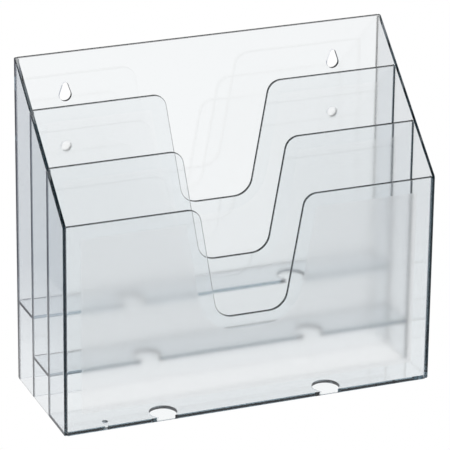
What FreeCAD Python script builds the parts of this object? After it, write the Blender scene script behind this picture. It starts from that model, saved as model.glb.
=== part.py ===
"""Desktop file sorter: three stepped pockets of clear plastic sheet, bonded edge to edge.

Frame: millimetres, +Z up, the front faces -Y, and the origin is the middle of the footprint on
the surface that the sorter stands on. Two side panels run the full depth. The back panel, two
dividers and the front panel stand between them, each lower than the one behind it, and every
pocket has a floor one step higher than the floor of the pocket in front.
"""

import FreeCAD, Part
import math
import os

from FreeCAD import Vector

# ---- driving dimensions --------------------------------------------------------------------
WIDTH = 330.0                # over the outer faces of the side panels
WALL = 2.8                   # thickness of every upright panel
FRONT_POCKET = 38.0          # clear depth, front to back
MIDDLE_POCKET = 38.0
REAR_POCKET = 35.0
FRONT_HEIGHT = 186.5         # top of the front panel
BACK_HEIGHT = 291.6          # top of the back panel
FLOOR_THICKNESS = 3.0
FLOOR_STEP = 35.6            # rise from one pocket's floor to the next

COVE_RADIUS = 1.2            # hollow flare where a cross panel meets a side panel
COVE_CLEARANCE = 0.2         # room for the cement between a floor's corner and the cove
EDGE_ROUND = 0.7             # exposed edges of the cross panels
SIDE_EDGE_ROUND = 1.0        # rim of a side panel's outer face
SIDE_FRONT_ROUND = 4.0       # side panel's upper front corner, seen from the side
SIDE_REAR_ROUND = 1.4        # both corners of its level top over the back panel
FOOT_ROUND = 1.5             # its lower corners

NOTCH_TOP_WIDTH = 94.0       # finger notch in the front panel and both dividers,
NOTCH_BOTTOM_WIDTH = 60.0    # measured between its straight edges, drawn sharp
NOTCH_DEPTH = 100.0
NOTCH_TOP_ROUND = 12.0
NOTCH_BOTTOM_ROUND = 16.0

FLOOR_HOLE_DIAMETER = 24.0   # two push-up holes in every floor, open to its front edge
FLOOR_HOLE_SPACING = 148.0
FLOOR_HOLE_SETBACK = 9.5     # centre behind the floor's front edge
JIG_HOLE_DIAMETER = 5.0      # small assembly hole in the front floor, left of the pair
JIG_HOLE_OFFSET = -126.0
JIG_HOLE_SETBACK = 8.5

HANGER_SPACING = 242.0       # keyholes and screw holes in the back panel
KEYHOLE_HEAD_DIAMETER = 10.8     # lower, wide end that a screw head passes
KEYHOLE_SLOT_DIAMETER = 5.0      # upper end that the shank hangs in
KEYHOLE_CENTRES = 8.8            # between the two ends
KEYHOLE_DROP = 38.0              # head centre below the back panel's top
SCREW_HOLE_DIAMETER = 9.0
SCREW_HOLE_DROP = 83.0

# ---- places worked out from them -----------------------------------------------------------
DEPTH = 4 * WALL + FRONT_POCKET + MIDDLE_POCKET + REAR_POCKET
CLEAR_WIDTH = WIDTH - 2 * WALL
FRONT_FACE = -DEPTH / 2
MIDDLE_FACE = FRONT_FACE + WALL + FRONT_POCKET      # front faces of the cross panels
REAR_FACE = MIDDLE_FACE + WALL + MIDDLE_POCKET
BACK_FACE = REAR_FACE + WALL + REAR_POCKET


def slope_height(y):
    """Height at depth y of the side panels' top edge, which ends level over the back panel."""
    share = (y - FRONT_FACE) / (BACK_FACE - FRONT_FACE)
    return FRONT_HEIGHT + (BACK_HEIGHT - FRONT_HEIGHT) * share


def vertical_face(points):
    """A flat face in the XZ plane through (x, z) corners."""
    corners = [Vector(x, 0, z) for x, z in points]
    return Part.Face(Part.makePolygon(corners + corners[:1]))


def round_edges(solid, radius, wanted):
    """Fillet the edges for which wanted(edge) is true."""
    edges = [edge for edge in solid.Edges if wanted(edge)]
    return solid.makeFillet(radius, edges) if edges else solid


def middle_of(edge):
    """Point half-way along an edge."""
    first, last = edge.ParameterRange
    return edge.valueAt((first + last) / 2)


def is_along(edge, axis):
    """True where a straight edge runs along the axis."""
    ends = edge.Vertexes
    if len(ends) != 2 or edge.Curve.TypeId != "Part::GeomLine":
        return False
    run = (ends[1].Point - ends[0].Point).normalize()
    return abs(abs(run.dot(axis)) - 1) < 1e-6


# ---- side panels ---------------------------------------------------------------------------
def side_panel(outer_x, inward):
    """Full-depth end wall whose top edge slopes down to the front.

    outer_x is the outer face, and inward is +1 or -1 along X, towards the pockets.
    """
    outline = {
        (FRONT_FACE, 0): FOOT_ROUND,
        (-FRONT_FACE, 0): FOOT_ROUND,
        (-FRONT_FACE, BACK_HEIGHT): SIDE_REAR_ROUND,
        (BACK_FACE, BACK_HEIGHT): SIDE_REAR_ROUND,
        (FRONT_FACE, FRONT_HEIGHT): SIDE_FRONT_ROUND,
    }
    corners = [Vector(outer_x, y, z) for y, z in outline]
    face = Part.Face(Part.makePolygon(corners + corners[:1]))
    panel = face.extrude(Vector(inward * WALL, 0, 0))
    for (y, z), radius in outline.items():
        panel = round_edges(panel, radius, lambda edge: is_corner(edge, y, z))
    return round_edges(panel, SIDE_EDGE_ROUND, lambda edge: abs(middle_of(edge).x - outer_x) < 1e-6)


def is_corner(edge, y, z):
    """True for the edge that crosses a side panel's thickness at (y, z)."""
    point = middle_of(edge)
    return is_along(edge, Vector(1, 0, 0)) and abs(point.y - y) < 1e-6 and abs(point.z - z) < 1e-6


# ---- cross panels --------------------------------------------------------------------------
def cove(end_x, inward, face_y, outward, height):
    """Hollow quarter-round flare that thickens a cross panel's end against a side panel.

    It is a square post in the corner of end_x and face_y, less the cylinder that hollows it.
    """
    reach = COVE_RADIUS
    post = Part.makeBox(reach, reach, height)
    post.translate(Vector(min(end_x, end_x + inward * reach), min(face_y, face_y + outward * reach), 0))
    centre = Vector(end_x + inward * reach, face_y + outward * reach, -1)
    return post.cut(Part.makeCylinder(reach, height + 2, centre))


def cross_panel(face_y, flare_front, flare_rear):
    """Upright plate between the side panels, with coves at both ends of the named faces.

    It is as high as the sloping edge at its front face. A front cove stops lower, where the
    slope passes the cove's front edge.
    """
    height = slope_height(face_y)
    plate = Part.makeBox(CLEAR_WIDTH, WALL, height, Vector(-CLEAR_WIDTH / 2, face_y, 0))
    flares = []
    for inward in (1, -1):
        end_x = -inward * CLEAR_WIDTH / 2
        if flare_front:
            flares.append(cove(end_x, inward, face_y, -1, slope_height(face_y - COVE_RADIUS)))
        if flare_rear:
            flares.append(cove(end_x, inward, face_y + WALL, 1, height))
    return plate.fuse(flares).removeSplitter()


def notch_cutter(face_y, top):
    """Prism of the finger notch: slanting sides, round shoulders and round lower corners."""
    half_top, half_bottom = NOTCH_TOP_WIDTH / 2, NOTCH_BOTTOM_WIDTH / 2
    lean = (half_top - half_bottom) / NOTCH_DEPTH
    clear = 2 * NOTCH_TOP_ROUND
    shoulder = math.tan(math.atan2(NOTCH_DEPTH, half_top - half_bottom) / 2) * NOTCH_TOP_ROUND
    bottom = top - NOTCH_DEPTH
    throat = vertical_face([
        (-half_bottom, bottom), (half_bottom, bottom),
        (half_top + lean * clear, top + clear), (-half_top - lean * clear, top + clear),
    ])
    throat.translate(Vector(0, face_y - WALL, 0))
    prism = throat.extrude(Vector(0, 3 * WALL, 0))
    prism = round_edges(prism, NOTCH_BOTTOM_ROUND, lambda edge: is_lower_corner(edge, bottom))

    for side in (-1, 1):
        prism = prism.fuse(shoulder_cutter(side * half_top, side, shoulder, face_y, top))
    return prism


def is_lower_corner(edge, bottom):
    """True for the notch prism's two lower edges."""
    return is_along(edge, Vector(0, 1, 0)) and abs(middle_of(edge).z - bottom) < 1e-6


def shoulder_cutter(corner_x, side, tangent, face_y, top):
    """What a round shoulder takes off: the sharp corner's triangle, less the round itself."""
    lean_angle = math.atan2(NOTCH_DEPTH, (NOTCH_TOP_WIDTH - NOTCH_BOTTOM_WIDTH) / 2)
    on_top = (corner_x + side * tangent, top)
    on_side = (corner_x - side * tangent * math.cos(lean_angle), top - tangent * math.sin(lean_angle))
    wedge = vertical_face([(corner_x, top), on_top, on_side])
    wedge.translate(Vector(0, face_y - WALL, 0))
    disc = Part.makeCylinder(
        NOTCH_TOP_ROUND, 5 * WALL,
        Vector(on_top[0], face_y - 2 * WALL, top - NOTCH_TOP_ROUND), Vector(0, 1, 0))
    return wedge.extrude(Vector(0, 3 * WALL, 0)).cut(disc)


def notched_panel(face_y, flare_front):
    """Front panel or divider: coved cross panel with the finger notch and polished top edges."""
    top = slope_height(face_y)
    panel = cross_panel(face_y, flare_front, True).cut(notch_cutter(face_y, top)).removeSplitter()
    return round_edges(panel, EDGE_ROUND, lambda edge: is_polished(edge, face_y, top))


def is_polished(edge, face_y, top):
    """True for the long edges of the top and of the notch, on both faces of a notched panel."""
    point = middle_of(edge)
    on_face = min(abs(point.y - face_y), abs(point.y - face_y - WALL)) < 1e-6
    on_top = abs(point.z - top) < 1e-6
    in_notch = abs(point.x) < NOTCH_TOP_WIDTH and point.z > top - NOTCH_DEPTH - 1e-6
    return on_face and not is_along(edge, Vector(0, 1, 0)) and (on_top or in_notch)


def keyhole_cutter(centre_x, centre_z, face_y):
    """Teardrop hole: a wide round end below, joined by its tangents to a narrow end above."""
    big, small = KEYHOLE_HEAD_DIAMETER / 2, KEYHOLE_SLOT_DIAMETER / 2
    lean = math.asin((big - small) / KEYHOLE_CENTRES)
    length, start = 3 * WALL, face_y - WALL
    flank = vertical_face([
        (-big * math.cos(lean), big * math.sin(lean)), (big * math.cos(lean), big * math.sin(lean)),
        (small * math.cos(lean), KEYHOLE_CENTRES + small * math.sin(lean)),
        (-small * math.cos(lean), KEYHOLE_CENTRES + small * math.sin(lean)),
    ]).extrude(Vector(0, length, 0))
    flank.translate(Vector(centre_x, start, centre_z))
    head = Part.makeCylinder(big, length, Vector(centre_x, start, centre_z), Vector(0, 1, 0))
    slot = Part.makeCylinder(small, length, Vector(centre_x, start, centre_z + KEYHOLE_CENTRES), Vector(0, 1, 0))
    return head.fuse([flank, slot])


def back_panel():
    """Tallest cross panel, coved in front, with a keyhole above a screw hole at each side."""
    top = slope_height(BACK_FACE)
    panel = cross_panel(BACK_FACE, True, False)
    for side in (-1, 1):
        x = side * HANGER_SPACING / 2
        panel = panel.cut(keyhole_cutter(x, top - KEYHOLE_DROP, BACK_FACE))
        start = Vector(x, BACK_FACE - WALL, top - SCREW_HOLE_DROP)
        panel = panel.cut(Part.makeCylinder(SCREW_HOLE_DIAMETER / 2, 3 * WALL, start, Vector(0, 1, 0)))
    panel = panel.removeSplitter()
    return round_edges(panel, EDGE_ROUND, lambda edge: is_top_edge(edge, top))


def is_top_edge(edge, top):
    """True for the long edges of a plain panel's top."""
    return is_along(edge, Vector(1, 0, 0)) and abs(middle_of(edge).z - top) < 1e-6


# ---- pocket floors -------------------------------------------------------------------------
def pocket_floor(front_y, depth, level):
    """Floor plate whose round corners nest in the coves, with two push-up holes at its front."""
    corner = COVE_RADIUS + COVE_CLEARANCE
    start = Vector(-CLEAR_WIDTH / 2, front_y, level)
    plate = Part.makeBox(CLEAR_WIDTH, depth, FLOOR_THICKNESS, start)
    plate = round_edges(plate, corner, lambda edge: is_along(edge, Vector(0, 0, 1)))
    for side in (-1, 1):
        x = side * FLOOR_HOLE_SPACING / 2
        plate = plate.cut(floor_hole(x, front_y + FLOOR_HOLE_SETBACK, FLOOR_HOLE_DIAMETER, level))
    return plate


def floor_hole(x, y, diameter, level):
    """Upright cutter through a floor."""
    start = Vector(x, y, level - FLOOR_THICKNESS)
    return Part.makeCylinder(diameter / 2, 3 * FLOOR_THICKNESS, start)


def front_floor():
    """Lowest floor, flush with the panels' feet, with the small assembly hole as well."""
    plate = pocket_floor(FRONT_FACE + WALL, FRONT_POCKET, 0)
    return plate.cut(floor_hole(JIG_HOLE_OFFSET, FRONT_FACE + WALL + JIG_HOLE_SETBACK, JIG_HOLE_DIAMETER, 0))


NODES = {
    "left_side_panel": side_panel(-WIDTH / 2, 1),
    "right_side_panel": side_panel(WIDTH / 2, -1),
    "back_panel": back_panel(),
    "rear_divider": notched_panel(REAR_FACE, True),
    "middle_divider": notched_panel(MIDDLE_FACE, True),
    "front_panel": notched_panel(FRONT_FACE, False),
    "rear_floor": pocket_floor(REAR_FACE + WALL, REAR_POCKET, 2 * FLOOR_STEP),
    "middle_floor": pocket_floor(MIDDLE_FACE + WALL, MIDDLE_POCKET, FLOOR_STEP),
    "front_floor": front_floor(),
}

os.makedirs("parts", exist_ok=True)
for name, shape in NODES.items():
    shape.exportStep(f"parts/{name}.step")
    print(name, "valid" if shape.isValid() else "NOT VALID", f"{shape.Volume / 1000:.1f} cm3")
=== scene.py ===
"""Desktop file sorter in clear polystyrene: finishes, studio and camera around its fixed frame.

Metres, +Z up, the front faces -Y. Nine moulded panels are cemented edge to edge. A cemented
joint has no surface inside it, so light runs on from one panel into the next. Each panel
therefore knows where its neighbours are cemented to it, worked out from the frame's own boxes.
"""

import logging
import math
from dataclasses import dataclass, field
from enum import Enum
from typing import Any

import bpy
import numpy as np
from mathutils import Matrix, Vector


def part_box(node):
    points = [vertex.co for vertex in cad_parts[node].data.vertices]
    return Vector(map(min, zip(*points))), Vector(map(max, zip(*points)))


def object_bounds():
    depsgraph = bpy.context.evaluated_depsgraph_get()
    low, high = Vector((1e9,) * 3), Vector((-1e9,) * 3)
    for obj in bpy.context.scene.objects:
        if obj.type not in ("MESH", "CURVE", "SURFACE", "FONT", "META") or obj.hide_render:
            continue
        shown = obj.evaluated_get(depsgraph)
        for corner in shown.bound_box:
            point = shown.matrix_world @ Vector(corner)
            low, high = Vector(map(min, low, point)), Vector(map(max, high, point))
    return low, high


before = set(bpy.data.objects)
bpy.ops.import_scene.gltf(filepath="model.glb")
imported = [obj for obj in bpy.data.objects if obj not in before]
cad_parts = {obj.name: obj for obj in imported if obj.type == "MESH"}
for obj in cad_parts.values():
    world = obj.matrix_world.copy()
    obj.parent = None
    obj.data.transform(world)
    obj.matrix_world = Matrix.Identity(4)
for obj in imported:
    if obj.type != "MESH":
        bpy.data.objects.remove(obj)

LOG = logging.getLogger("file_sorter")
MM = 0.001
TOUCH = 5e-6            # how far off a plane a point may lie and still be on it, in metres
CLEAR_BOUNCES = 48      # faces that light may cross on its way through nine clear panels
GLOSSY_BOUNCES = 32     # times that it may be mirrored inside them
CAD_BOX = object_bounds()

Tree = bpy.types.NodeTree
Socket = bpy.types.NodeSocket
MATH = "ShaderNodeMath"

# Sockets of a Mix node for colours. They go by number, as numbers and vectors share their names.
SHARE, FIRST, SECOND, MIXED = 0, 6, 7, 2


# ---- small helpers ----------------------------------------------------------------------------
def linear(hex_colour: str) -> tuple[float, float, float, float]:
    """Turn an sRGB hex colour into linear RGBA.

    Args:
        hex_colour: Six hex digits.

    Returns:
        Linear red, green, blue and an alpha of 1.
    """
    srgb = np.array([int(hex_colour[i:i + 2], 16) for i in (0, 2, 4)]) / 255
    rgb = np.where(srgb <= 0.04045, srgb / 12.92, ((srgb + 0.055) / 1.055) ** 2.4)
    return (*rgb.tolist(), 1.0)


def add_node(tree: Tree, kind: str, inputs: dict[Any, Any] | tuple[Any, ...] = (),
             **settings: Any) -> bpy.types.bpy_prop_collection:
    """Add one node, with its settings, and fill or link its inputs.

    Args:
        tree: Node tree that gets the node.
        kind: Blender's node type, such as "ShaderNodeMath".
        inputs: Value or socket for each input, in order or by the input's name or number.
        **settings: Properties of the node itself.

    Returns:
        The new node's outputs.
    """
    node = tree.nodes.new(kind)
    for name, value in settings.items():
        setattr(node, name, value)
    for key, value in (inputs if isinstance(inputs, dict) else dict(enumerate(inputs))).items():
        if isinstance(value, bpy.types.NodeSocket):
            tree.links.new(value, node.inputs[key])
        else:
            node.inputs[key].default_value = value
    return node.outputs


# ---- where the panels are cemented ------------------------------------------------------------
class Axis(Enum):
    """Direction across a joint's plane or across a panel."""

    X = 0
    Y = 1
    Z = 2


@dataclass(frozen=True)
class Joint:
    """Rectangle on one flat face of a panel that is cemented to its neighbour.

    Args:
        axis: Direction across the plane, X or Y.
        plane: The plane's coordinate on that axis.
        low: Lowest corner as (along the other level axis, z).
        high: Highest corner.
    """

    axis: Axis
    plane: float
    low: tuple[float, float]
    high: tuple[float, float]

    def mask(self, tree: Tree, place: list[Socket]) -> Socket:
        """1 on the cemented rectangle and 0 elsewhere.

        Args:
            tree: Node tree of the material.
            place: The x, y and z of the point.

        Returns:
            The mask's socket.
        """
        across = place[self.axis.value]
        along = place[1 - self.axis.value]
        inside = add_node(tree, MATH, (across, self.plane, TOUCH), operation="COMPARE")[0]
        for value, low, high in ((along, self.low[0], self.high[0]),
                                 (place[2], self.low[1], self.high[1])):
            middle, reach = (low + high) / 2, (high - low) / 2
            in_range = add_node(tree, MATH, (value, middle, reach), operation="COMPARE")[0]
            inside = add_node(tree, MATH, (inside, in_range), operation="MULTIPLY")[0]
        return inside


@dataclass(frozen=True)
class Faces:
    """The two broad faces of a panel.

    Args:
        axis: Direction across the panel.
        first: One face's coordinate on that axis.
        second: The other's.
    """

    axis: Axis
    first: float
    second: float

    def edge_mask(self, tree: Tree, place: list[Socket]) -> Socket:
        """1 on every edge, round and hole wall, which lie off both broad faces.

        Args:
            tree: Node tree of the material.
            place: The x, y and z of the point.

        Returns:
            The mask's socket.
        """
        across = place[self.axis.value]
        on_faces = tuple(add_node(tree, MATH, (across, plane, TOUCH), operation="COMPARE")[0]
                         for plane in (self.first, self.second))
        on_either = add_node(tree, MATH, on_faces, operation="MAXIMUM")[0]
        return add_node(tree, MATH, (1.0, on_either), operation="SUBTRACT")[0]


@dataclass(frozen=True)
class Layout:
    """Places of the panels, read from the frame.

    Args:
        cross: Upright cross panels from front to back.
        floors: Pocket floors from front to back.
        hole_radius: Radius of a floor's push-up holes.
        hole_spacing: Distance between the two holes of a floor.
        hole_setback: Centre of a hole behind its floor's front edge.
        cement: Room for cement between a floor's round corner and the flare it nests in.
    """

    cross: tuple[str, ...] = ("front_panel", "middle_divider", "rear_divider", "back_panel")
    floors: tuple[str, ...] = ("front_floor", "middle_floor", "rear_floor")
    hole_radius: float = 12.0 * MM
    hole_spacing: float = 148.0 * MM
    hole_setback: float = 9.5 * MM
    cement: float = 0.2 * MM

    @property
    def wall(self) -> float:
        """Thickness of the upright panels."""
        low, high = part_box("left_side_panel")
        return high.x - low.x

    @property
    def cove(self) -> float:
        """Radius of the hollow flare at a cross panel's ends."""
        low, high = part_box("rear_divider")
        return (high.y - low.y - self.wall) / 2

    @property
    def corner(self) -> float:
        """Radius of a floor's corners."""
        return self.cove + self.cement

    def face(self, panel: str) -> float:
        """Front face of a cross panel on Y, without the flares."""
        low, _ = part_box(panel)
        return low.y if panel == self.cross[0] else low.y + self.cove

    def slope_height(self, y: float) -> float:
        """Height of the side panels' sloping edge.

        A straight line through the tops of the front and back panels at their front faces.

        Args:
            y: Depth at which the height is wanted.

        Returns:
            The height above the table.
        """
        ends = [(self.face(name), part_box(name)[1].z) for name in (self.cross[0], self.cross[-1])]
        return float(np.interp(y, *zip(*ends)))

    def side_joints(self, inner_x: float) -> list[Joint]:
        """Joints on a side panel's inner face: every cross panel's end and every floor's end.

        Args:
            inner_x: The inner face's place on X.

        Returns:
            The joints, with a lower one in front of each face for its flare.
        """
        joints = []
        for panel in self.cross:
            low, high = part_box(panel)
            face = self.face(panel)
            joints.append(Joint(Axis.X, inner_x, (face, 0), (high.y, high.z)))
            if low.y < face:
                flare_top = self.slope_height(face - self.cove)
                joints.append(Joint(Axis.X, inner_x, (low.y, 0), (face, flare_top)))
        for panel in self.floors:
            low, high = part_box(panel)
            joints.append(Joint(Axis.X, inner_x, (low.y + self.corner, low.z),
                                (high.y - self.corner, high.z)))
        return joints

    def cross_joints(self, panel: str) -> list[Joint]:
        """Joints on a cross panel: its two ends, and the edges of the floors beside it.

        The floor behind it starts with half-open push-up holes, which leave three strips. A
        hole's half chord is the root of its radius squared less its setback squared.

        Args:
            panel: The cross panel's name.

        Returns:
            The joints.
        """
        low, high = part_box(panel)
        joints = [Joint(Axis.X, x, (low.y, 0), (high.y, high.z)) for x in (low.x, high.x)]
        number = self.cross.index(panel)
        if number > 0:
            floor_low, floor_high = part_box(self.floors[number - 1])
            end = floor_high.x - self.corner
            joints.append(Joint(Axis.Y, self.face(panel), (-end, floor_low.z),
                                (end, floor_high.z)))
        if number < len(self.floors):
            floor_low, floor_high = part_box(self.floors[number])
            end = floor_high.x - self.corner
            half_chord = math.sqrt(self.hole_radius ** 2 - self.hole_setback ** 2)
            inner = self.hole_spacing / 2 - half_chord
            outer = self.hole_spacing / 2 + half_chord
            for start, stop in ((-end, -outer), (-inner, inner), (outer, end)):
                joints.append(Joint(Axis.Y, self.face(panel) + self.wall,
                                    (start, floor_low.z), (stop, floor_high.z)))
        return joints

    def floor_joints(self, panel: str) -> list[Joint]:
        """Joints on a floor: all four edges, up to its round corners.

        Args:
            panel: The floor's name.

        Returns:
            The joints.
        """
        low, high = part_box(panel)
        ends = [Joint(Axis.X, x, (low.y, low.z), (high.y, high.z)) for x in (low.x, high.x)]
        return ends + [Joint(Axis.Y, y, (low.x, low.z), (high.x, high.z))
                       for y in (low.y, high.y)]


# ---- finishes ---------------------------------------------------------------------------------
class Surface(Enum):
    """How the mould left a panel's rear face."""

    POLISHED = "polished"
    TEXTURED = "textured"


@dataclass(frozen=True)
class Texture:
    """Fine mould texture on a panel's rear face, inside a polished border round every edge.

    The eye sees what stands behind it softened, as through thin frosting, and a clear rim.

    Args:
        roughness: Roughness of the textured face, which blurs what stands behind it.
        painted_light_share: Painted light: share of the plastic's dimming that the textured area
            takes back, in place of side light that the texture would gather.
        border: Width of the polished border.
        foot_border: Height of the polished strip above the feet.
        notch_top: Width of the finger notch at the top, between its straight edges.
        notch_bottom: Width of the notch at its foot.
        notch_depth: Depth of the notch.
        notch_round: Radius of the notch's lower corners.
    """

    roughness: float
    painted_light_share: float
    border: float = 13.0 * MM
    foot_border: float = 17.0 * MM
    notch_top: float = 94.0 * MM
    notch_bottom: float = 60.0 * MM
    notch_depth: float = 100.0 * MM
    notch_round: float = 16.0 * MM

    def mask(self, tree: Tree, place: list[Socket], rear_y: float, half_width: float,
             top: float) -> Socket:
        """1 on the textured area and 0 on the polished border.

        The area is the panel's front view less the border. The notch is taken off as the
        distance to its two straight sides and its foot, with its lower corners rounded.

        Args:
            tree: Node tree of the material.
            place: The x, y and z of the point.
            rear_y: Rear face of the panel.
            half_width: Half the panel's length.
            top: Height of the panel.

        Returns:
            The mask's socket.
        """
        x, y, z = place
        side = add_node(tree, MATH, (x,), operation="ABSOLUTE")[0]
        inside = add_node(tree, MATH, (y, rear_y, TOUCH), operation="COMPARE")[0]
        for value, limit, keep in ((side, half_width - self.border, "LESS_THAN"),
                                   (z, top - self.border, "LESS_THAN"),
                                   (z, self.foot_border, "GREATER_THAN")):
            kept = add_node(tree, MATH, (value, limit), operation=keep)[0]
            inside = add_node(tree, MATH, (inside, kept), operation="MULTIPLY")[0]
        lean = (self.notch_top - self.notch_bottom) / 2 / self.notch_depth
        upright = math.cos(math.atan(lean))
        foot = top - self.notch_depth
        edge = add_node(tree, MATH, (z, lean, self.notch_bottom / 2 - lean * foot),
                        operation="MULTIPLY_ADD")[0]
        past_edge = add_node(tree, MATH, (side, edge), operation="SUBTRACT")[0]
        beside = add_node(tree, MATH, (past_edge, upright, self.notch_round),
                          operation="MULTIPLY_ADD")[0]
        below = add_node(tree, MATH, (foot + self.notch_round, z), operation="SUBTRACT")[0]
        outward = [add_node(tree, MATH, (value, 0.0), operation="MAXIMUM")[0]
                   for value in (beside, below)]
        squares = tuple(add_node(tree, MATH, (value, value), operation="MULTIPLY")[0]
                        for value in outward)
        squared = add_node(tree, MATH, squares, operation="ADD")[0]
        distance = add_node(tree, MATH, (squared,), operation="SQRT")[0]
        clear = add_node(tree, MATH, (distance, self.notch_round + self.border),
                         operation="GREATER_THAN")[0]
        return add_node(tree, MATH, (inside, clear), operation="MULTIPLY")[0]


@dataclass(frozen=True)
class ClearPolystyrene:
    """Injection-moulded general-purpose polystyrene, polished.

    It is crystal clear with a faint blue-green cast, mirror smooth, and bends light strongly,
    so that its edges gather dark lines, which a painted shade on the edges darkens further. Light
    that runs along inside a panel is dimmed by the length of plastic that it crosses.

    Args:
        panel: Panel that the finish is for.
        ior: Refractive index.
        cast: Colour that is left of white light after cast_length of plastic.
        cast_length: That length.
        painted_edge_level: Painted shade on the edges: the share of light that goes in through an
            edge.
        wave_height: Height of the slow waves that moulding leaves in a polished face.
        wave_length: Length of those waves.
        wave_detail: How many times finer waves ride on them, each half as long.
    """

    panel: str
    ior: float = 1.59
    cast: str = "C2CFD4"
    cast_length: float = 25.0 * MM
    painted_edge_level: float = 0.45
    wave_height: float = 0.004 * MM
    wave_length: float = 45.0 * MM
    wave_detail: float = 2.0

    def make(self, faces: Faces, joints: list[Joint], texture: Texture | None = None,
             area: tuple[float, float, float] | None = None) -> bpy.types.Material:
        """Build the node material.

        Args:
            faces: The panel's two broad faces.
            joints: Where the panel is cemented to its neighbours.
            texture: Mould texture of the panel, if it has one.
            area: Rear face, half length and height of the panel, for the texture.

        Returns:
            The material.
        """
        surface = Surface.POLISHED if texture is None else Surface.TEXTURED
        material = bpy.data.materials.new(f"clear_polystyrene_{surface.value}_{self.panel}")
        material.use_nodes = True
        tree = material.node_tree
        tree.nodes.clear()
        point = add_node(tree, "ShaderNodeTexCoord")["Object"]
        place = list(add_node(tree, "ShaderNodeSeparateXYZ", (point,)))
        painted_light_share, roughness = 0.0, 0.0
        # painted light: the textured area keeps more of what the plastic's cast takes away
        if texture is not None and area is not None:
            textured = texture.mask(tree, place, *area)
            painted_light_share = add_node(tree, MATH, (textured, texture.painted_light_share),
                                operation="MULTIPLY")[0]
            roughness = add_node(tree, MATH, (textured, texture.roughness),
                                 operation="MULTIPLY")[0]
        plastic = add_node(tree, "ShaderNodeBsdfGlass", {
            "Color": self.transmitted(tree, faces.edge_mask(tree, place), painted_light_share),
            "IOR": self.ior,
            "Roughness": roughness,
            "Normal": self.waves(tree, point),
        }, distribution="MULTI_GGX")[0]
        cemented = joints[0].mask(tree, place)
        for joint in joints[1:]:
            cemented = add_node(tree, MATH, (cemented, joint.mask(tree, place)),
                                operation="MAXIMUM")[0]
        passed = add_node(tree, "ShaderNodeBsdfTransparent")[0]
        mixed = add_node(tree, "ShaderNodeMixShader", (cemented, plastic, passed))[0]
        add_node(tree, "ShaderNodeOutputMaterial", {"Surface": mixed})
        return material

    def transmitted(self, tree: Tree, edge: Socket, painted_light_share: Socket | float) -> Socket:
        """What a face lets through.

        Light that meets a face from inside has crossed plastic: it keeps the cast, raised to the
        length crossed over cast_length. On a textured face part of that loss is taken back,
        painted light in place of what the texture would gather from the sides.
        Light that meets an edge from outside is dimmed by a painted shade that darkens the edges.

        Args:
            tree: Node tree of the material.
            edge: 1 on the panel's edges.
            painted_light_share: Share of the loss that is taken back, painted light on a textured
                face.

        Returns:
            The colour's socket.
        """
        length = add_node(tree, "ShaderNodeLightPath")["Ray Length"]
        inside = add_node(tree, "ShaderNodeNewGeometry")["Backfacing"]
        outside = add_node(tree, MATH, (1.0, inside), operation="SUBTRACT")[0]
        lost = add_node(tree, MATH, (1.0, painted_light_share), operation="SUBTRACT")[0]
        crossed = add_node(tree, MATH, (length, inside), operation="MULTIPLY")[0]
        lengths = add_node(tree, MATH, (crossed, 1 / self.cast_length),
                           operation="MULTIPLY")[0]
        power = add_node(tree, MATH, (lengths, lost), operation="MULTIPLY")[0]
        # painted shade: light that comes in through an edge is dimmed, darkening the edges
        entered = add_node(tree, MATH, (edge, outside), operation="MULTIPLY")[0]
        painted_edge_shade = add_node(tree, MATH, (entered, self.painted_edge_level - 1, 1.0),
                          operation="MULTIPLY_ADD")[0]
        levels = []
        for level in linear(self.cast)[:3]:
            left = add_node(tree, MATH, (level, power), operation="POWER")[0]
            levels.append(add_node(tree, MATH, (left, painted_edge_shade), operation="MULTIPLY")[0])
        return add_node(tree, "ShaderNodeCombineColor", tuple(levels))[0]

    def waves(self, tree: Tree, point: Socket) -> Socket:
        """Slow waves of a moulded face, which bend a mirrored line a little.

        Args:
            tree: Node tree of the material.
            point: The point's place.

        Returns:
            The waves as a normal.
        """
        noise = add_node(tree, "ShaderNodeTexNoise", {
            "Vector": point, "Scale": 1 / self.wave_length, "Detail": self.wave_detail})[0]
        return add_node(tree, "ShaderNodeBump", {
            "Height": noise, "Distance": self.wave_height})[0]


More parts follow.
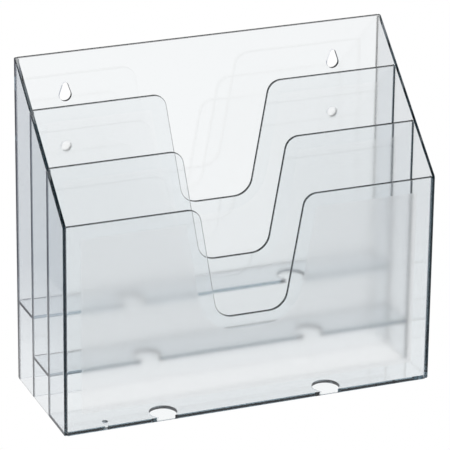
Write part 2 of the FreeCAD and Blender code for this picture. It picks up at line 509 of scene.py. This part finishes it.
# ---- the sorter -------------------------------------------------------------------------------
@dataclass
class Sorter:
    """The nine cemented panels.

    Args:
        layout: Where the panels are.
        sides: The two end walls.
        plain: The cross panel that has no texture.
        front_texture: Mould texture of the front panel.
        divider_texture: Finer texture of both dividers.
    """

    layout: Layout = field(default_factory=Layout)
    sides: tuple[str, ...] = ("left_side_panel", "right_side_panel")
    plain: str = "back_panel"
    front_texture: Texture = field(
        default_factory=lambda: Texture(roughness=0.24, painted_light_share=0.75))
    divider_texture: Texture = field(
        default_factory=lambda: Texture(roughness=0.15, painted_light_share=0.3))

    def dress(self) -> None:
        """Give every panel its own finish."""
        self.dress_sides()
        self.dress_cross_panels()
        self.dress_floors()

    def dress_sides(self) -> None:
        """Polished end walls, cemented on their inner faces."""
        for panel in self.sides:
            low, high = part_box(panel)
            inner_x = high.x if high.x < 0 else low.x
            faces = Faces(Axis.X, low.x, high.x)
            joints = self.layout.side_joints(inner_x)
            self.give(panel, ClearPolystyrene(panel).make(faces, joints))

    def dress_cross_panels(self) -> None:
        """Uprights: a polished back panel, and a textured front panel and dividers."""
        for panel in self.layout.cross:
            front = self.layout.face(panel)
            faces = Faces(Axis.Y, front, front + self.layout.wall)
            joints = self.layout.cross_joints(panel)
            if panel == self.plain:
                self.give(panel, ClearPolystyrene(panel).make(faces, joints))
                continue
            first = panel == self.layout.cross[0]
            texture = self.front_texture if first else self.divider_texture
            _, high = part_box(panel)
            area = (faces.second, high.x, high.z)
            self.give(panel, ClearPolystyrene(panel).make(faces, joints, texture, area))

    def dress_floors(self) -> None:
        """Polished floors, cemented on all four edges."""
        for panel in self.layout.floors:
            low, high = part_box(panel)
            faces = Faces(Axis.Z, low.z, high.z)
            joints = self.layout.floor_joints(panel)
            self.give(panel, ClearPolystyrene(panel).make(faces, joints))

    @staticmethod
    def give(node: str, material: bpy.types.Material) -> None:
        """Put a material on a panel of the frame and report it.

        Args:
            node: The panel's name.
            material: Its finish.
        """
        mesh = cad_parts[node].data
        mesh.materials.clear()
        mesh.materials.append(material)
        LOG.info("%s: %s", node, material.name)


# ---- studio -----------------------------------------------------------------------------------
@dataclass(frozen=True)
class Softbox:
    """Square area light that glints on the panels and isn't seen itself.

    Args:
        name: Its name.
        place: Its middle.
        size: Side of the square.
        power: Watts.
        aim: Point that it faces.
    """

    name: str
    place: tuple[float, float, float]
    size: float
    power: float
    aim: tuple[float, float, float] = (0.0, 0.0, 0.1)

    def build(self) -> None:
        """Hang the light and turn it to its aim."""
        data = bpy.data.lights.new(self.name, "AREA")
        data.size = self.size
        data.energy = self.power
        light = bpy.data.objects.new(self.name, data)
        light.location = self.place
        way = Vector(self.aim) - Vector(self.place)
        light.rotation_euler = way.to_track_quat("-Z", "Y").to_euler()
        light.visible_camera = False
        light.visible_transmission = False
        bpy.context.scene.collection.objects.link(light)
        LOG.info("%s", self.name)


@dataclass
class Studio:
    """White light table, a room painted dim in front and bright behind where the panels mirror it,
    and two softboxes.

    Seen directly or through the panels, table and room are plain white. Mirrored in the
    panels they are painted duller, and the table duller again after a second mirroring, so
    that these painted reflections stay faint and edges turn grey; under the sorter the
    table is then painted in deep shade. It belongs to the studio, not to the plastic.

    Args:
        table_half: Half the side of the table.
        table_drop: How far the top lies under the feet, so that they don't share a plane.
        reflection_card_left: Left edge of the pale card, a painted reflection on the table that
            shows only where the panels mirror it.
        reflection_card_right: Where the card starts to fade on the right, and where it stops
            fading.
        reflection_card_right_level: Share of the card that is left there.
        reflection_card_rear: Where the card starts to fade at the back, and where it is gone.
        white: Table and room, seen directly or through the panels.
        near: The card, mirrored once, a painted reflection.
        far: The table beyond the card, mirrored once, a painted reflection.
        guided: The table, mirrored more often by light that runs along inside a panel, a painted
            reflection.
        shaded: The same under the sorter, in painted shade.
        room_front: The room in front, mirrored, a painted reflection.
        room_back: The room behind, mirrored, a painted reflection.
        room_turn: Directions blend from front to back between minus this and this on Y.
        once: Glossy Depth above which a ray has been mirrored.
        often: Glossy Depth above which it has been mirrored more than once.
        softboxes: The area lights.
    """

    table_half: float = 3.0
    table_drop: float = 0.5 * MM
    reflection_card_left: float = -0.26
    reflection_card_right: tuple[float, float] = (0.15, 0.9)
    reflection_card_right_level: float = 0.4
    reflection_card_rear: tuple[float, float] = (0.1, 0.3)
    white: str = "FFFFFF"
    near: str = "EEEFF3"
    far: str = "A8ACB8"
    guided: str = "B0B4B8"
    shaded: str = "101418"
    room_front: str = "303438"
    room_back: str = "F4F4F8"
    room_turn: float = 0.3
    once: float = 0.5
    often: float = 1.5
    softboxes: tuple[Softbox, ...] = (
        Softbox("softbox_left", (-1.6, -0.6, 1.4), 0.9, 12.0),
        Softbox("softbox_above", (0.3, 0.2, 2.0), 1.2, 12.0),
    )

    def build(self) -> None:
        """Make the table, the room and the lights."""
        self.table()
        self.room()
        for softbox in self.softboxes:
            softbox.build()

    def table(self) -> None:
        """Level square table top, as a grid of x by y points just under height zero."""
        steps = np.linspace(-self.table_half, self.table_half, 3)
        x, y = np.meshgrid(steps, steps, indexing="ij")
        points = np.stack([x, y, np.full_like(x, -self.table_drop)], axis=-1).reshape(-1, 3)
        number = np.arange(x.size).reshape(x.shape)
        quads = np.stack([number[:-1, :-1], number[1:, :-1], number[1:, 1:], number[:-1, 1:]],
                         axis=-1)
        mesh = bpy.data.meshes.new("light_table")
        mesh.from_pydata(points.tolist(), [], quads.reshape(-1, 4).tolist())
        table = bpy.data.objects.new("light_table", mesh)
        bpy.context.scene.collection.objects.link(table)
        mesh.materials.append(self.opal())
        LOG.info("light_table")

    def opal(self) -> bpy.types.Material:
        """Opal glass of the light table, lit from below. Only where the panels mirror it does it
        show a painted reflection of a pale card under the sorter, and painted shade under the
        sorter after more than one mirroring.

        Returns:
            The material.
        """
        material = bpy.data.materials.new("opal_light_table")
        material.use_nodes = True
        tree = material.node_tree
        tree.nodes.clear()
        depth = add_node(tree, "ShaderNodeLightPath")["Glossy Depth"]
        point = add_node(tree, "ShaderNodeTexCoord")["Object"]
        x, y, _ = add_node(tree, "ShaderNodeSeparateXYZ", (point,))
        # painted reflection: a pale card, seen only where the panels mirror the table
        left = add_node(tree, MATH, (x, self.reflection_card_left), operation="GREATER_THAN")[0]
        right = add_node(tree, "ShaderNodeMapRange", (x, *self.reflection_card_right, 1.0,
                                                      self.reflection_card_right_level))[0]
        rear = add_node(tree, "ShaderNodeMapRange", (y, *self.reflection_card_rear, 1.0, 0.0))[0]
        wide = add_node(tree, MATH, (left, right), operation="MULTIPLY")[0]
        close = add_node(tree, MATH, (wide, rear), operation="MULTIPLY")[0]
        # painted shade: the table under the sorter, seen after light runs along inside a panel
        in_x = add_node(tree, MATH, (x, 0.0, CAD_BOX[1][0]), operation="COMPARE")[0]
        in_y = add_node(tree, MATH, (y, 0.0, CAD_BOX[1][1]), operation="COMPARE")[0]
        under = add_node(tree, MATH, (in_x, in_y), operation="MULTIPLY")[0]
        mirrored = add_node(tree, MATH, (depth, self.once), operation="GREATER_THAN")[0]
        many = add_node(tree, MATH, (depth, self.often), operation="GREATER_THAN")[0]
        first_time = add_node(tree, "ShaderNodeMix", {
            SHARE: close, FIRST: linear(self.far), SECOND: linear(self.near)},
            data_type="RGBA")[MIXED]
        later = add_node(tree, "ShaderNodeMix", {
            SHARE: under, FIRST: linear(self.guided), SECOND: linear(self.shaded)},
            data_type="RGBA")[MIXED]
        painted_reflection = add_node(tree, "ShaderNodeMix", {
            SHARE: many, FIRST: first_time, SECOND: later}, data_type="RGBA")[MIXED]
        seen = add_node(tree, "ShaderNodeMix", {
            SHARE: mirrored, FIRST: linear(self.white), SECOND: painted_reflection},
            data_type="RGBA")[MIXED]
        glow = add_node(tree, "ShaderNodeEmission", {"Color": seen, "Strength": 1.0})[0]
        add_node(tree, "ShaderNodeOutputMaterial", {"Surface": glow})
        return material

    def room(self) -> None:
        """White behind the sorter, and a painted reflection of a room from dim to bright in what
        its faces mirror.
        """
        world = bpy.data.worlds.new("studio_room")
        bpy.context.scene.world = world
        world.use_nodes = True
        tree = world.node_tree
        tree.nodes.clear()
        depth = add_node(tree, "ShaderNodeLightPath")["Glossy Depth"]
        mirrored = add_node(tree, MATH, (depth, self.once), operation="GREATER_THAN")[0]
        heading = add_node(tree, "ShaderNodeTexCoord")["Generated"]
        _, backward, _ = add_node(tree, "ShaderNodeSeparateXYZ", (heading,))
        # painted reflection: the room, dim in front and bright behind, seen only in mirrored rays
        share = add_node(tree, "ShaderNodeMapRange",
                         (backward, -self.room_turn, self.room_turn, 0.0, 1.0))[0]
        painted_reflection = add_node(tree, "ShaderNodeMix", {
            SHARE: share, FIRST: linear(self.room_front), SECOND: linear(self.room_back)},
            data_type="RGBA")[MIXED]
        seen = add_node(tree, "ShaderNodeMix", {
            SHARE: mirrored, FIRST: linear(self.white), SECOND: painted_reflection},
            data_type="RGBA")[MIXED]
        sky = add_node(tree, "ShaderNodeBackground", {"Color": seen, "Strength": 1.0})[0]
        add_node(tree, "ShaderNodeOutputWorld", {"Surface": sky})
        LOG.info("studio_room")


@dataclass
class Viewpoint:
    """Camera: a long lens from the front left, above.

    Args:
        azimuth: Degrees round from straight in front, to the right.
        elevation: Degrees above the level.
        roll: Degrees that the camera's right side is lifted.
        distance: From the point looked at.
        target: Point looked at.
        sensor: Sensor width in millimetres.
        lens: Focal length in millimetres.
        clip_end: Distance past which nothing is drawn.
    """

    azimuth: float = -21.79
    elevation: float = 22.41
    roll: float = 0.66
    distance: float = 2.785
    target: tuple[float, float, float] = (-0.0005, -0.0011, 0.1427)
    sensor: float = 36.0
    lens: float = 264.6
    clip_end: float = 50.0

    def place(self) -> None:
        """Make the camera and look through it."""
        azimuth, elevation, roll = (
            math.radians(angle) for angle in (self.azimuth, self.elevation, self.roll))
        back = Vector((math.sin(azimuth) * math.cos(elevation),
                       -math.cos(azimuth) * math.cos(elevation), math.sin(elevation)))
        level = Vector((math.cos(azimuth), math.sin(azimuth), 0))
        rise = back.cross(level)
        right = level * math.cos(roll) + rise * math.sin(roll)
        up = rise * math.cos(roll) - level * math.sin(roll)
        data = bpy.data.cameras.new("camera")
        data.lens, data.sensor_width, data.clip_end = self.lens, self.sensor, self.clip_end
        camera = bpy.data.objects.new("camera", data)
        turn = Matrix((right, up, back)).transposed().to_4x4()
        place = Vector(self.target) + back * self.distance
        camera.matrix_world = Matrix.Translation(place) @ turn
        bpy.context.scene.collection.objects.link(camera)
        bpy.context.scene.camera = camera
        LOG.info("camera")


def main() -> None:
    """Dress the sorter, build the studio and place the camera."""
    logging.basicConfig(level=logging.INFO, format="%(name)s: %(message)s")
    scene = bpy.context.scene
    scene.view_settings.view_transform = "Standard"
    scene.cycles.max_bounces = CLEAR_BOUNCES
    scene.cycles.glossy_bounces = GLOSSY_BOUNCES
    scene.cycles.transmission_bounces = CLEAR_BOUNCES
    scene.cycles.transparent_max_bounces = CLEAR_BOUNCES
    Sorter().dress()
    Studio().build()
    Viewpoint().place()


if __name__ == "__main__":
    main()
